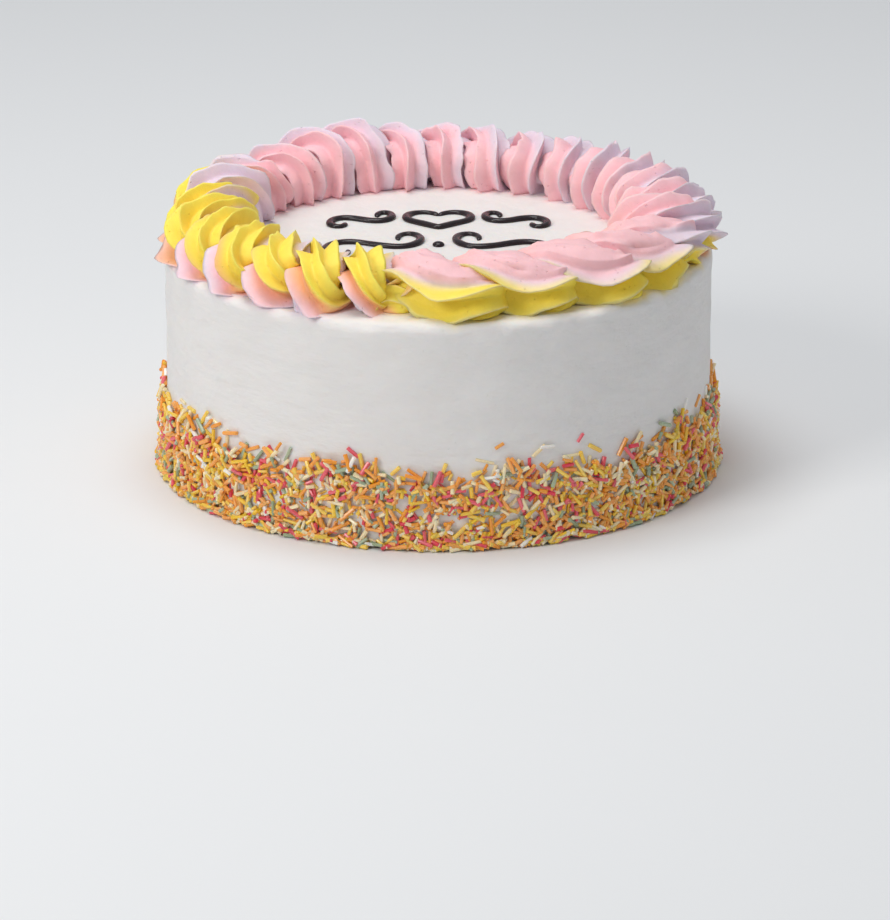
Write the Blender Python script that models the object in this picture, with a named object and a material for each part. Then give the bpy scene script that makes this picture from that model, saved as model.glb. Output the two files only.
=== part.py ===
"""An eight-inch iced cake with a band of sugar strands, a piped rope border and a dark gel flourish.

Metres, +Z up. The origin is the middle of the underside, on the surface that the cake stands on.
The angle round the cake runs counterclockwise from +X, and the front of the cake faces -Y.
"""

import math
import random

import bmesh
import bpy
from mathutils import Vector

# Cake
CAKE_RADIUS = 0.1048
CAKE_HEIGHT = 0.087
RIM_ROUND = 0.005
RIM_STEPS = 4
CAKE_SIDES = 64
FOOT_ROUND = 0.001
GAP = 0.0003
TOP_FLOOR = CAKE_HEIGHT + GAP
# Waves of the smoothed side: how many round the cake, height in metres, turn per metre of height and phase
SIDE_WAVES = ((3, 0.00040, 40.0, 0.0), (7, 0.00024, -90.0, 1.3))

# Band of sugar strands round the foot
BAND_HEIGHT = 0.034
BAND_THICK = 0.0016
# Waves of its ragged top: how many round the cake, height and phase
BAND_WAVES = ((9, 0.0015, 0.0), (23, 0.0009, 1.0), (14, 0.0006, 2.1))
STRAND_SIDES = 6
STRAND_RADIUS = 0.00075
STRAND_SHORT = 0.0058
STRAND_LONG = 0.0080
STRAND_ROWS = 4
STRAND_COLUMNS = 40
STRAND_JITTER = 0.0011
STRAND_SINK = 0.0002
STRAND_FOOT = 0.0058
STRAND_TOP = 0.0040
STRAND_SEED = 11

# Piped border: one rope laid in loops from the front, to the right, round the back and home
BORDER_OVAL = 0.0025
LOOPS = 27
START_ANGLE = -96.0
LOOP_ANGLE = 12.4
LONG_LOOPS = 3.4
LONG_LOOPS_ANGLE = 21.0
LONG_LOOPS_END = 6
LOOP_PHASE = 0.55
LOOP_LEAN = 3.0
BACK_LEAN = 20.0
FRONT_SLANT = 4.8
# Where the rope's end meets its start, in loops before the start, and how it begins and ends
SEAM = 0.5
START_EASE = (-SEAM, 0.25)
END_EASE = (0.45, 0.75)
ENDS_REACH = 0.2
ENDS_LIFT = 0.5
ENDS_SIZE = 0.7

# How unevenly it is piped: the size of each wave along the rope, its rate in waves a loop, and its phase
SIZE_WAVES = ((0.07, 0.43, 0.1), (0.05, 0.29, 0.6))
LEAN_WAVE = (8.0, 0.37, 0.2)
RING_WAVE = (0.0006, 0.31, 0.3)

# The plain loops, and what four stretches of the border add to them. Reach, rise and lift are the loop's
# half width, its half height and its middle's height; ring is the border's radius.
PLAIN_LOOPS = {"reach": 0.0083, "rise": 0.0059, "lift": 0.0070, "ring": 0.084, "size": 1.0}
FRONT_LOOPS = {"reach": -0.0008, "rise": -0.0014, "lift": 0.0015, "size": 0.20}
RIGHT_LOOPS = {"reach": 0.0035, "lift": 0.0006, "ring": 0.0015}
HIGH_LOOPS = {"rise": 0.0040, "size": 0.06}
LEFT_LOOPS = {"reach": 0.0012, "rise": -0.0004}
BACK_FIRST = (10.0, 45.0)
BACK_LAST = (140.0, 165.0)
FRONT_LAST = (-35.0, 0.0)
RIGHT_MIDDLE = 2.0
RIGHT_WIDTH = 30.0
HIGH_MIDDLE = 116.0
HIGH_WIDTHS = (9.0, 13.0)
LEFT_FIRST = (165.0, 185.0)

# The star rope's outside, seen along it: crests and valleys by turns
ROPE_CREST = 0.0098
ROPE_VALLEY = 0.0062
ROPE_TWIST_EASE = 0.25
ROPE_TURNED = 2.0
FIN_ANGLE = 45.0
LOOP_SPREAD = 120.0
COLUMNS = round(LOOPS * 2 * LOOP_SPREAD / FIN_ANGLE)
ARCH_REACH = 113.0
ARCH_STEPS = 15
FOOT_STEP = 0.0006
REACH_STEP = 1.5
FOOT_SHIFT = 14
GROOVE_DEPTH = 0.0022
GROOVE_EASE = (0.30, 0.50)
SOLVE_ROUNDS = 12

# Gel flourish on the top
GEL_WIDTH = 0.0034
GEL_HEIGHT = 0.0016
GEL_TIP = 0.45
GEL_TIP_SHARE = 0.12
GEL_SIDES = 5
HEART_PLACE = (0.0, 0.0288)
HEART_LOBE = 0.0066
HEART_APART = 0.0059
HEART_TIP = 0.0130
HEART_NOTCH_GAP = 33.0
HEART_STEPS = 9
SCROLLS = {
    "gel_scroll_upper_left": (-0.0300, 0.0260, -1, 0.050),
    "gel_scroll_upper_right": (0.0300, 0.0260, 1, 0.050),
    "gel_scroll_lower_left": (-0.0250, -0.0060, -1, 0.076),
    "gel_scroll_lower_right": (0.0250, -0.0060, 1, 0.076),
}
SCROLL_STEPS = 16
SCROLL_CURL = 5.6
SCROLL_SLOPE = 0.35
SCROLL_STRETCH = 1.35
DOT_RADIUS = 0.0022
DOT_SIDES = 10
DOTS = {
    "gel_dot_front": (0.0, -0.0230),
    "gel_dot_middle": (0.0, -0.0060),
    "gel_dot_left": (-0.0140, -0.0270),
    "gel_dot_right": (0.0140, -0.0270),
}


def ease(low, high, value):
    """0 below low, 1 above high and smooth between."""
    share = min(max((value - low) / (high - low), 0.0), 1.0)
    return share * share * (3 - 2 * share)


def bump(value, middle, width):
    return math.exp(-(((value - middle) / width) ** 2))


def wave(turns, size, rate, phase):
    return size * math.sin(2 * math.pi * (rate * turns + phase))


def clear_scene():
    for item in list(bpy.data.objects):
        bpy.data.objects.remove(item, do_unlink=True)


def finish_of(name, colour, roughness):
    material = bpy.data.materials.new(name)
    material.use_nodes = True
    shader = material.node_tree.nodes["Principled BSDF"]
    shader.inputs["Base Color"].default_value = (*colour, 1.0)
    shader.inputs["Roughness"].default_value = roughness
    shader.inputs["Metallic"].default_value = 0.0
    return material


def icing_finish():
    return finish_of("white_icing", (0.83, 0.80, 0.78), 0.60)


def piping_finish():
    return finish_of("piped_icing", (0.93, 0.62, 0.62), 0.62)


def gel_finish():
    return finish_of("dark_gel", (0.012, 0.008, 0.010), 0.22)


def object_from(shape, name, material):
    """A named object from a bmesh, with its normals outwards and its round sides smooth."""
    bmesh.ops.recalc_face_normals(shape, faces=shape.faces)
    mesh = bpy.data.meshes.new(name)
    shape.to_mesh(mesh)
    shape.free()
    mesh.shade_smooth()
    mesh.set_sharp_from_angle(angle=math.radians(35))
    if material:
        mesh.materials.append(material)
    item = bpy.data.objects.new(name, mesh)
    bpy.context.scene.collection.objects.link(item)
    return item


def swept(rings):
    """A closed solid: the first ring is a face, extruded once to each later ring."""
    shape = bmesh.new()
    end = shape.faces.new([shape.verts.new(point) for point in rings[0]])
    for number, ring in enumerate(rings[1:]):
        made = bmesh.ops.extrude_face_region(shape, geom=[end])["geom"]
        if number:
            shape.faces.remove(end)
        end = next(item for item in made if isinstance(item, bmesh.types.BMFace))
        for corner, point in zip(end.verts, ring):
            corner.co = point
    return shape


def evaluated_copy(item, name, material):
    """The item with its modifiers applied, as a new object, and its largest shell alone."""
    graph = bpy.context.evaluated_depsgraph_get()
    shape = bmesh.new()
    shape.from_mesh(bpy.data.meshes.new_from_object(item.evaluated_get(graph)))
    keep_largest_shell(shape)
    return object_from(shape, name, material)


def shells_of(shape):
    """The separate shells of a bmesh, each as a set of faces."""
    left = set(shape.faces)
    shells = []
    while left:
        shell = set()
        edge = [left.pop()]
        while edge:
            face = edge.pop()
            shell.add(face)
            near = {other for side in face.edges for other in side.link_faces if other in left}
            left -= near
            edge.extend(near)
        shells.append(shell)
    return shells


def keep_largest_shell(shape):
    """Fills what fusing sealed and drops what it left loose."""
    shells = sorted(shells_of(shape), key=len)
    for shell in shells[:-1]:
        bmesh.ops.delete(shape, geom=list(shell), context="FACES")


def fused(base, others, name, material):
    """One solid from the base and a collection of others, which are removed."""
    union = base.modifiers.new("union", "BOOLEAN")
    union.operation = "UNION"
    union.operand_type = "COLLECTION"
    union.collection = others
    made = evaluated_copy(base, name, material)
    for helper in [base, *others.objects]:
        bpy.data.objects.remove(helper, do_unlink=True)
    bpy.data.collections.remove(others)
    return made


def moved_to(collection, item):
    bpy.context.scene.collection.objects.unlink(item)
    collection.objects.link(item)


def helper_collection(name):
    collection = bpy.data.collections.new(name)
    bpy.context.scene.collection.children.link(collection)
    return collection


def side_waver(angle, height):
    """The slight unevenness of the smoothed side."""
    return sum(
        depth * math.sin(count * angle + slope * height + phase) for count, depth, slope, phase in SIDE_WAVES
    )


def band_top(angle):
    return BAND_HEIGHT + sum(tall * math.sin(count * angle + phase) for count, tall, phase in BAND_WAVES)


def cake_profile(angle):
    """(radius, height) up the side at one angle, from the underside to the edge of the flat top."""
    top = band_top(angle)
    shoulder = CAKE_HEIGHT - RIM_ROUND
    outer = CAKE_RADIUS + BAND_THICK
    profile = [(outer - FOOT_ROUND, 0.0), (outer, FOOT_ROUND), (outer, top - BAND_THICK), (CAKE_RADIUS, top)]
    middle = (top + shoulder) / 2
    profile.append((CAKE_RADIUS + side_waver(angle, middle), middle))
    for step in range(RIM_STEPS + 1):
        turn = math.pi / 2 * step / RIM_STEPS
        radius = CAKE_RADIUS - RIM_ROUND + RIM_ROUND * math.cos(turn)
        profile.append((radius, shoulder + RIM_ROUND * math.sin(turn)))
    return profile


def bare_cake():
    angles = [2 * math.pi * side / CAKE_SIDES for side in range(CAKE_SIDES)]
    profiles = [cake_profile(angle) for angle in angles]
    rings = []
    for level in range(len(profiles[0])):
        ring = []
        for angle, profile in zip(angles, profiles):
            radius, height = profile[level]
            ring.append(Vector((radius * math.cos(angle), radius * math.sin(angle), height)))
        rings.append(ring)
    return object_from(swept(rings), "bare_cake", icing_finish())


def strand(place, outward, along, length):
    """One sugar strand: a rod that lies in the band."""
    side = outward.cross(along)
    rings = []
    for end in (-0.5, 0.5):
        ring = []
        for corner in range(STRAND_SIDES):
            turn = 2 * math.pi * corner / STRAND_SIDES
            across = side * math.cos(turn) + outward * math.sin(turn)
            ring.append(place + along * length * end + across * STRAND_RADIUS)
        rings.append(ring)
    return object_from(swept(rings), "strand", None)


def strands():
    """The largest strands of the band, spread evenly in staggered rows."""
    draw = random.Random(STRAND_SEED)
    collection = helper_collection("strands")
    for row in range(STRAND_ROWS):
        for column in range(STRAND_COLUMNS):
            angle = 2 * math.pi * (column + 0.5 * (row % 2)) / STRAND_COLUMNS
            angle += draw.uniform(-1, 1) * STRAND_JITTER / CAKE_RADIUS
            rise = (band_top(angle) - STRAND_FOOT - STRAND_TOP) * row / (STRAND_ROWS - 1)
            height = STRAND_FOOT + rise + draw.uniform(-1, 1) * STRAND_JITTER
            outward = Vector((math.cos(angle), math.sin(angle), 0.0))
            level = Vector((-math.sin(angle), math.cos(angle), 0.0))
            turn = draw.uniform(0, math.pi)
            along = level * math.cos(turn) + Vector((0.0, 0.0, 1.0)) * math.sin(turn)
            place = outward * (CAKE_RADIUS + BAND_THICK + STRAND_SINK) + Vector((0.0, 0.0, height))
            length = draw.uniform(STRAND_SHORT, STRAND_LONG)
            moved_to(collection, strand(place, outward, along, length))
    return collection


def iced_cake():
    return fused(bare_cake(), strands(), "iced_cake", icing_finish())


def rope_angle(turns):
    """Where the rope has got to round the cake, in degrees, after so many loops."""
    share = turns / LONG_LOOPS
    stretch = share / (1 + abs(share) ** LONG_LOOPS_END) ** (1 / LONG_LOOPS_END)
    return START_ANGLE + LOOP_ANGLE * turns + LONG_LOOPS_ANGLE * stretch


def loop_sizes(angle):
    """The sizes of the rope and its loops at this angle round the cake, before their unevenness."""
    stretches = (
        (FRONT_LOOPS, 1 - ease(*FRONT_LAST, angle)),
        (RIGHT_LOOPS, bump(angle, RIGHT_MIDDLE, RIGHT_WIDTH)),
        (HIGH_LOOPS, bump(angle, HIGH_MIDDLE, HIGH_WIDTHS[angle > HIGH_MIDDLE])),
        (LEFT_LOOPS, ease(*LEFT_FIRST, angle)),
    )
    return {
        name: plain + sum(added.get(name, 0.0) * share for added, share in stretches)
        for name, plain in PLAIN_LOOPS.items()
    }


def rope_shape(turns):
    """The local sizes of the rope and its loops, which are as uneven as a hand makes them."""
    angle = rope_angle(turns)
    shape = loop_sizes(angle)
    uneven = 1 + sum(wave(turns, *part) for part in SIZE_WAVES)
    ends = ease(*START_EASE, turns) * ease(*END_EASE, LOOPS - turns)
    shape["angle"] = math.radians(angle)
    shape["slant"] = math.radians(FRONT_SLANT * (1 - ease(*FRONT_LAST, angle))) * ends
    back = ease(*BACK_FIRST, angle) * (1 - ease(*BACK_LAST, angle))
    shape["lean"] = math.radians(LOOP_LEAN + BACK_LEAN * back + wave(turns, *LEAN_WAVE))
    shape["reach"] *= uneven * (ENDS_REACH + (1 - ENDS_REACH) * ends)
    shape["rise"] *= uneven * (ENDS_REACH + (1 - ENDS_REACH) * ends)
    shape["lift"] *= ENDS_LIFT + (1 - ENDS_LIFT) * ends
    shape["size"] *= ENDS_SIZE + (1 - ENDS_SIZE) * ends
    shape["ring"] += BORDER_OVAL * math.cos(2 * shape["angle"]) + wave(turns, *RING_WAVE)
    return shape


def past_top_at(twist):
    """How far past its top a loop is, in radians, where the rope has twisted this far."""
    past_top = twist
    for _ in range(SOLVE_ROUNDS):
        past_top = twist + ROPE_TWIST_EASE * math.sin(past_top)
    return past_top


def border_point(column, twist):
    """One point of the border's outside. Columns run along the rope's crests and its valleys by turns.

    The rope twists as it climbs over a loop, so a crest moves across the loop and on to the next one. A loop
    leans back along the border, and where it slants its far side is further on.
    """
    place = LOOPS * column / COLUMNS + (math.degrees(twist) + ROPE_TURNED) / LOOP_SPREAD
    off_middle = place - round(place)
    past_top = past_top_at(twist)
    turns = place + LOOP_PHASE - 0.25 + past_top / (2 * math.pi)
    shape = rope_shape((turns + SEAM) % LOOPS - SEAM)
    radius = (ROPE_VALLEY if column % 2 else ROPE_CREST) * shape["size"]
    groove = GROOVE_DEPTH * ease(*GROOVE_EASE, abs(off_middle))
    above = radius * math.cos(math.radians(off_middle * LOOP_SPREAD)) - groove
    across = shape["ring"] + (shape["reach"] + above) * math.sin(past_top)
    tall = (shape["rise"] + above) * math.cos(past_top)
    angle = shape["angle"] + shape["slant"] * math.sin(past_top) - tall * math.sin(shape["lean"]) / shape["ring"]
    height = CAKE_HEIGHT + shape["lift"] + tall
    return Vector((across * math.cos(angle), across * math.sin(angle), height))


def column_reach(column, side):
    """How far over the loops a column goes to one side, in degrees, before it meets the icing."""
    reach = ARCH_REACH
    while border_point(column, math.radians(side * reach)).z < TOP_FLOOR + FOOT_STEP:
        reach -= REACH_STEP
    return side * reach


def border_column(shape, number):
    """The points of one column, from the inner foot over the top to the outer foot."""
    column = []
    first = column_reach(number, -1)
    last = column_reach(number, 1)
    for step in range(ARCH_STEPS + 1):
        twist = math.radians(first + (last - first) * step / ARCH_STEPS)
        column.append(shape.verts.new(border_point(number, twist)))
    column[0].co.z = TOP_FLOOR
    column[-1].co.z = TOP_FLOOR
    return column


def piped_border():
    """The outside of the looped rope as one closed ring, flat underneath.

    A column's outer foot is further round the cake than its inner foot, so underneath it is joined to the
    inner foot of a later column.
    """
    shape = bmesh.new()
    columns = [border_column(shape, number) for number in range(COLUMNS)]
    for number, here in enumerate(columns):
        there = columns[(number + 1) % COLUMNS]
        for step in range(ARCH_STEPS):
            shape.faces.new((here[step], here[step + 1], there[step + 1], there[step]))
        inner_here = columns[(number + FOOT_SHIFT) % COLUMNS][0]
        inner_there = columns[(number + FOOT_SHIFT + 1) % COLUMNS][0]
        shape.faces.new((here[-1], inner_here, inner_there, there[-1]))
    bmesh.ops.triangulate(shape, faces=shape.faces, quad_method="SHORT_EDGE")
    return object_from(shape, "piped_border", piping_finish())


def stroke_rings(path, closed=False):
    """Half-round outlines along a level path, narrower at its two ends."""
    rings = []
    last = len(path) - 1
    for number, place in enumerate(path):
        before = path[number - 1] if number or closed else place
        after = path[(number + 1) % len(path)] if number < last or closed else place
        ahead = (after - before).normalized()
        across = Vector((ahead.y, -ahead.x, 0.0))
        size = 1.0
        if not closed:
            size = GEL_TIP + (1 - GEL_TIP) * ease(0, GEL_TIP_SHARE, min(number, last - number) / last)
        ring = []
        for side in range(GEL_SIDES + 1):
            turn = math.pi * side / GEL_SIDES
            point = place - across * math.cos(turn) * GEL_WIDTH / 2 * size
            point.z = TOP_FLOOR + math.sin(turn) * GEL_HEIGHT * size
            ring.append(point)
        rings.append(ring)
    return rings


def gel_stroke(name, path):
    return object_from(swept(stroke_rings(path)), name, gel_finish())


def scroll_path(place_x, place_y, side, length):
    """A level S that curls in at both ends: its bend grows evenly from the middle."""
    points = []
    for half in (-1, 1):
        here = Vector((0.0, 0.0, 0.0))
        run = []
        for step in range(SCROLL_STEPS):
            share = (step + 0.5) / SCROLL_STEPS
            heading = SCROLL_SLOPE - SCROLL_CURL * share * share
            stride = half * length / 2 / SCROLL_STEPS
            here = here + stride * Vector((math.cos(heading), math.sin(heading), 0.0))
            run.append(here.copy())
        points = run[::-1] if half < 0 else points + [Vector((0.0, 0.0, 0.0))] + run
    for point in points:
        point.x = place_x + side * point.x
        point.y = place_y + point.y * SCROLL_STRETCH
    return points


def heart_path():
    """A heart in outline: a notch, two round lobes, straight sides and a tip."""
    notch = math.pi - math.acos(HEART_APART / HEART_LOBE)
    first = notch - math.radians(HEART_NOTCH_GAP)
    to_tip = math.hypot(HEART_APART, HEART_TIP)
    last = math.acos(HEART_LOBE / to_tip) + math.atan2(-HEART_TIP, -HEART_APART)
    lobe = []
    for step in range(HEART_STEPS + 1):
        turn = first + (last - first) * step / HEART_STEPS
        lobe.append((HEART_APART + HEART_LOBE * math.cos(turn), HEART_LOBE * math.sin(turn)))
    mirrored = [(-across, along) for across, along in reversed(lobe)]
    outline = [(0.0, HEART_LOBE * math.sin(notch)), *lobe, (0.0, -HEART_TIP), *mirrored]
    middle = Vector((*HEART_PLACE, 0.0))
    return [middle + Vector((across, along, 0.0)) for across, along in outline]


def gel_heart():
    """One closed stroke round the heart."""
    rings = stroke_rings(heart_path(), closed=True)
    shape = bmesh.new()
    corners = [[shape.verts.new(point) for point in ring] for ring in rings]
    for here, there in zip(corners, corners[1:] + corners[:1]):
        for side in range(len(here)):
            other = (side + 1) % len(here)
            shape.faces.new((here[side], here[other], there[other], there[side]))
    bmesh.ops.triangulate(shape, faces=shape.faces)
    return object_from(shape, "gel_heart", gel_finish())


def gel_dot(name, place):
    shape = bmesh.new()
    bmesh.ops.create_uvsphere(shape, u_segments=DOT_SIDES, v_segments=6, radius=DOT_RADIUS)
    bmesh.ops.bisect_plane(
        shape, geom=shape.verts[:] + shape.edges[:] + shape.faces[:], dist=1e-6,
        plane_co=(0, 0, 0), plane_no=(0, 0, -1), clear_outer=True,
    )
    bmesh.ops.edgeloop_fill(shape, edges=[edge for edge in shape.edges if edge.is_boundary])
    bmesh.ops.scale(shape, vec=Vector((1.0, 1.0, GEL_HEIGHT / DOT_RADIUS)), verts=shape.verts)
    bmesh.ops.translate(shape, vec=Vector((*place, TOP_FLOOR)), verts=shape.verts)
    return object_from(shape, name, gel_finish())


def gel_flourish():
    gel_heart()
    for name, (place_x, place_y, side, length) in SCROLLS.items():
        gel_stroke(name, scroll_path(place_x, place_y, side, length))
    for name, place in DOTS.items():
        gel_dot(name, place)


def main():
    clear_scene()
    iced_cake()
    piped_border()
    gel_flourish()


main()
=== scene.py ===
"""Dresses a packed birthday cake: smoothed icing, sugar strands, a piped rope border and a gel flourish.

Metres, +Z up. The origin is the middle of the underside. Angles round the cake run counterclockwise from +X,
and the front of the cake faces -Y.
"""

import math
import random

import bmesh
import bpy
import numpy as np
from mathutils import Matrix, Vector, kdtree, noise


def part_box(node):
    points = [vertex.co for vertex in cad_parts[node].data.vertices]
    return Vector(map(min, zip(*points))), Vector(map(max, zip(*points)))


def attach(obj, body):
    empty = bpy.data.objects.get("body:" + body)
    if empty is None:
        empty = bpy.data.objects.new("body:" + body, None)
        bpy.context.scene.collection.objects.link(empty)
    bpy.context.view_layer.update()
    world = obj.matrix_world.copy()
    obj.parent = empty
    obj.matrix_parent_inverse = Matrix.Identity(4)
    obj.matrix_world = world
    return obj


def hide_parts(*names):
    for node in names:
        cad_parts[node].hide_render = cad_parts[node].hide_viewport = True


bl_info = {
    "name": "Piped Birthday Cake",
    "version": (1, 0, 0),
    "blender": (4, 5, 0),
    "location": "3D View > Sidebar > Cake",
    "description": "Builds the icing, sugar strands, rope border and gel flourish of a birthday cake",
    "category": "Add Mesh",
}

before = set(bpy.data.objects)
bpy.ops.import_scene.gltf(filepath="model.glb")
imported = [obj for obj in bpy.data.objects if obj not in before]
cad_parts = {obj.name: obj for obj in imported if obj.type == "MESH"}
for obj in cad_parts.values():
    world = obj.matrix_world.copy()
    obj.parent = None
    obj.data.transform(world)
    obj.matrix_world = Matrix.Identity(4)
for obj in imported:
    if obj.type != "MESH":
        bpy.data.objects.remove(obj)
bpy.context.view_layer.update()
BORDER_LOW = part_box("piped_border")[0]
GEL_NODES = sorted(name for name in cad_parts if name.startswith("gel_"))

GAP = 0.0003
TOP = round(BORDER_LOW.z - GAP, 5)

# How unevenly the rope is piped: the size of each wave along it, its rate in waves a loop, and its phase
SIZE_WAVES = ((0.07, 0.43, 0.1), (0.05, 0.29, 0.6))
LEAN_WAVE = (8.0, 0.37, 0.2)
RING_WAVE = (0.0006, 0.31, 0.3)
CREST_WAVES = ((0.16, 1.37), (0.12, 2.9), (0.07, 7.3))
CREST_LEAN = (0.10, 0.10, 1.1)

# The plain loops, and what four stretches of the border add to them
PLAIN_LOOPS = {"reach": 0.0083, "rise": 0.0059, "lift": 0.0070, "ring": 0.084, "size": 1.0}
FRONT_LOOPS = {"reach": -0.0008, "rise": -0.0014, "lift": 0.0015, "size": 0.20}
RIGHT_LOOPS = {"reach": 0.0035, "lift": 0.0006, "ring": 0.0015}
HIGH_LOOPS = {"rise": 0.0040, "size": 0.06}
LEFT_LOOPS = {"reach": 0.0012, "rise": -0.0004}
# How the rope's twist bunches within a loop: how much, and how far before the top it is slowest, in degrees
TWIST_PLACES = (-100, -25, 25, 150, 175, 270)
TWIST_BUNCH = (0.28, 0.28, 0.62, 0.62, 0.25, 0.25)
TWIST_SLOW = (120, 120, 50, 50, 0, 0)
BACK_FIRST = (10.0, 45.0)
BACK_LAST = (140.0, 165.0)
FRONT_LAST = (-35.0, 0.0)
RIGHT_MIDDLE = 2.0
RIGHT_WIDTH = 30.0
HIGH_MIDDLE = 116.0
HIGH_WIDTHS = (9.0, 13.0)
LEFT_FIRST = (165.0, 185.0)
# How far the rope has begun and how far it has ended, in loops from its start and before its end
START_EASE = (-0.5, 0.25)
END_EASE = (0.10, 0.75)

# Where the colours meet in the piping bag, in degrees round the nozzle, at these angles round the cake
COLOUR_PLACES = (-100, -30, -12, 10, 60, 130, 150, 168, 200, 270)
YELLOW_TO_LAVENDER = (-78, -88, -150, -165, -95, -80, -60, 10, 60, 70)
LAVENDER_TO_PINK = (-68, -76, -50, -10, 22, 15, -10, 240, 253, 256)
PINK_TO_ORANGE = (80, 80, 100, 150, 170, 150, 170, 258, 268, 271)
ORANGE_TO_YELLOW = (150, 150, 165, 190, 200, 200, 220, 282, 294, 299)

# Painted shade: how much less red, green and blue the icing is given in a groove, where shade falls, and how
# much less it is given at the front, to darken the brightly lit front
GROOVE_PAINTED_SHADE = (0.0, 0.10, 0.09)
FRONT_PAINTED_SHADE = (0.05, 0.08, 0.10)
# Painted shade: where a loop is coloured coral in the hollow under the one before, as it comes up from under
# it: middle and width, in radians past its top
CORAL_HOLLOW_SHADE = (-1.25, 0.50)
# How pale a fin's lip is all round, and how much more at the front and at the right: partly the paler colour
# of thin icing, partly a painted highlight along the fin's edge
LIP_PALE_AND_HIGHLIGHT = (0.06, 0.30, 0.10)
# How wide the pale lip is, as a share of half a fin
LIP_WIDTH = 0.09
# How the colours wander round the nozzle along the rope: degrees, waves a loop and phase
STREAK_WAVES = ((7.0, 0.83, 0.2), (5.0, 2.3, 0.7))
# Degrees over which one colour turns into the next, on either side
COLOUR_SOFT = 12.0

# How far the fins are lowered where the rope passes underneath: all round, and how much more at the front
UNDER_SHARE = (0.35, 0.40)
# Up to what height the rope's foot is squashed outwards, and how far off its middle line that is in full
SPREAD_HEIGHT = 0.0034
SPREAD_FULL = 0.003
# How many times more the foot is squashed at the left and at the front
SPREAD_LEFT = 3.4
SPREAD_FRONT = 2.4
# How far the fin inside the top ones is smoothed away in front, as a share of what they are
INNER_SOFT = 0.6
# The part of a turn at which the rope starts its first loop, and the part at which each loop's top comes
FIRST_TURN = 0.55
TOP_TURN = 0.30
# The seed of the fins' waves and ragged edges, and how each step of an edge is blended with its neighbours
CREST_SEED = 5
RAGGED_BLUR = (0.3, 0.5, 0.3)

# The gel flourish, level on the flat top: where each scroll's middle is, its side and its length
HEART_PLACE = (0.0, 0.0288)
HEART_LOBE = 0.0066
HEART_APART = 0.0059
HEART_TIP = 0.0130
SCROLLS = {
    "gel_scroll_upper_left": (-0.0300, 0.0260, -1, 0.050),
    "gel_scroll_upper_right": (0.0300, 0.0260, 1, 0.050),
    "gel_scroll_lower_left": (-0.0250, -0.0060, -1, 0.076),
    "gel_scroll_lower_right": (0.0250, -0.0060, 1, 0.076),
}
SCROLL_CURL = 5.6
SCROLL_SLOPE = 0.35
SCROLL_STRETCH = 1.35

# The kinds of sugar strand: name, share of the strands and colour
STRAND_KINDS = (
    ("orange", 0.35, (1.0, 0.37, 0.02)),
    ("amber", 0.24, (1.0, 0.61, 0.025)),
    ("peach", 0.19, (1.0, 0.80, 0.48)),
    ("crimson", 0.11, (0.82, 0.05, 0.09)),
    ("sage", 0.08, (0.36, 0.45, 0.28)),
    ("cream", 0.03, (1.0, 0.95, 0.87)),
)
# How high the strands lie, as a share of the band's height: those heaped at the foot, and all others
FOOT_UP_TO = 0.10
BAND_UP_TO = 1.12
# Most radians that a strand at the foot is tilted
FOOT_TILT = 0.6
# Near the band's top this share of the strands is left out, between these shares of its height
LEFT_OUT = 0.93
LEFT_OUT_FROM = (0.68, 1.04)
# How far the strands above the foot may stand out, as a share of the deepest
BAND_DEPTH = 0.72

# The lights: size, place and colour
KEY_LIGHT = (0.55, (-1.0, -0.85, 0.95), (1.0, 0.975, 0.94))
FILL_LIGHT = (0.8, (1.3, -0.5, 0.55), (0.90, 0.95, 1.0))
OVER_LIGHT = (0.7, (-0.15, 0.10, 1.35), (1.0, 0.98, 0.96))
LIGHTS_AIM = (0.0, 0.0, 0.06)
ROOM_COLOUR = (0.93, 0.96, 1.0, 1.0)
CAMERA_AIM = (0.0025, 0.0, -0.0021)


def length_of(name, description, metres):
    return bpy.props.FloatProperty(
        name=name, description=description, default=metres, unit="LENGTH", precision=5
    )


def number_of(name, description, value):
    return bpy.props.FloatProperty(name=name, description=description, default=value, precision=4)


def count_of(name, description, value):
    return bpy.props.IntProperty(name=name, description=description, default=value, min=1)


def colour_of(name, description, colour):
    return bpy.props.FloatVectorProperty(
        name=name, description=description, default=colour, size=3, min=0.0, max=1.0, subtype="COLOR"
    )


class CakeIcingSettings(bpy.types.PropertyGroup):
    """The smoothed icing."""

    radius: length_of("Radius", "Radius of the smoothed side", 0.1048)
    rim_round: length_of("Rim rounding", "Radius of the top edge", 0.0038)
    foot_round: length_of("Foot rounding", "Radius of the bottom edge", 0.001)
    waver: length_of("Waver", "Depth of the broad unevenness left by the scraper", 0.00065)
    scrape: length_of("Scraper marks", "Depth of the fine level marks", 0.00012)
    rim_waver: length_of("Rim waver", "Unevenness of the top edge", 0.0009)
    pressed: length_of("Pressed foot", "How far the icing stands out where strands are pressed in", 0.0010)
    sides: count_of("Sides", "Steps round the cake", 320)
    # Painted reflected light: how far and how strongly the piping's colour is painted onto the white icing
    # beside it
    reflected_tint_reach: length_of("Stain reach", "How far colour spreads from the piping into the icing", 0.0021)
    reflected_tint: number_of("Stain strength", "How much of the piping's colour the icing takes up beside it", 0.55)
    colour: colour_of("Icing", "Colour of the white icing", (0.81, 0.787, 0.768))


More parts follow.
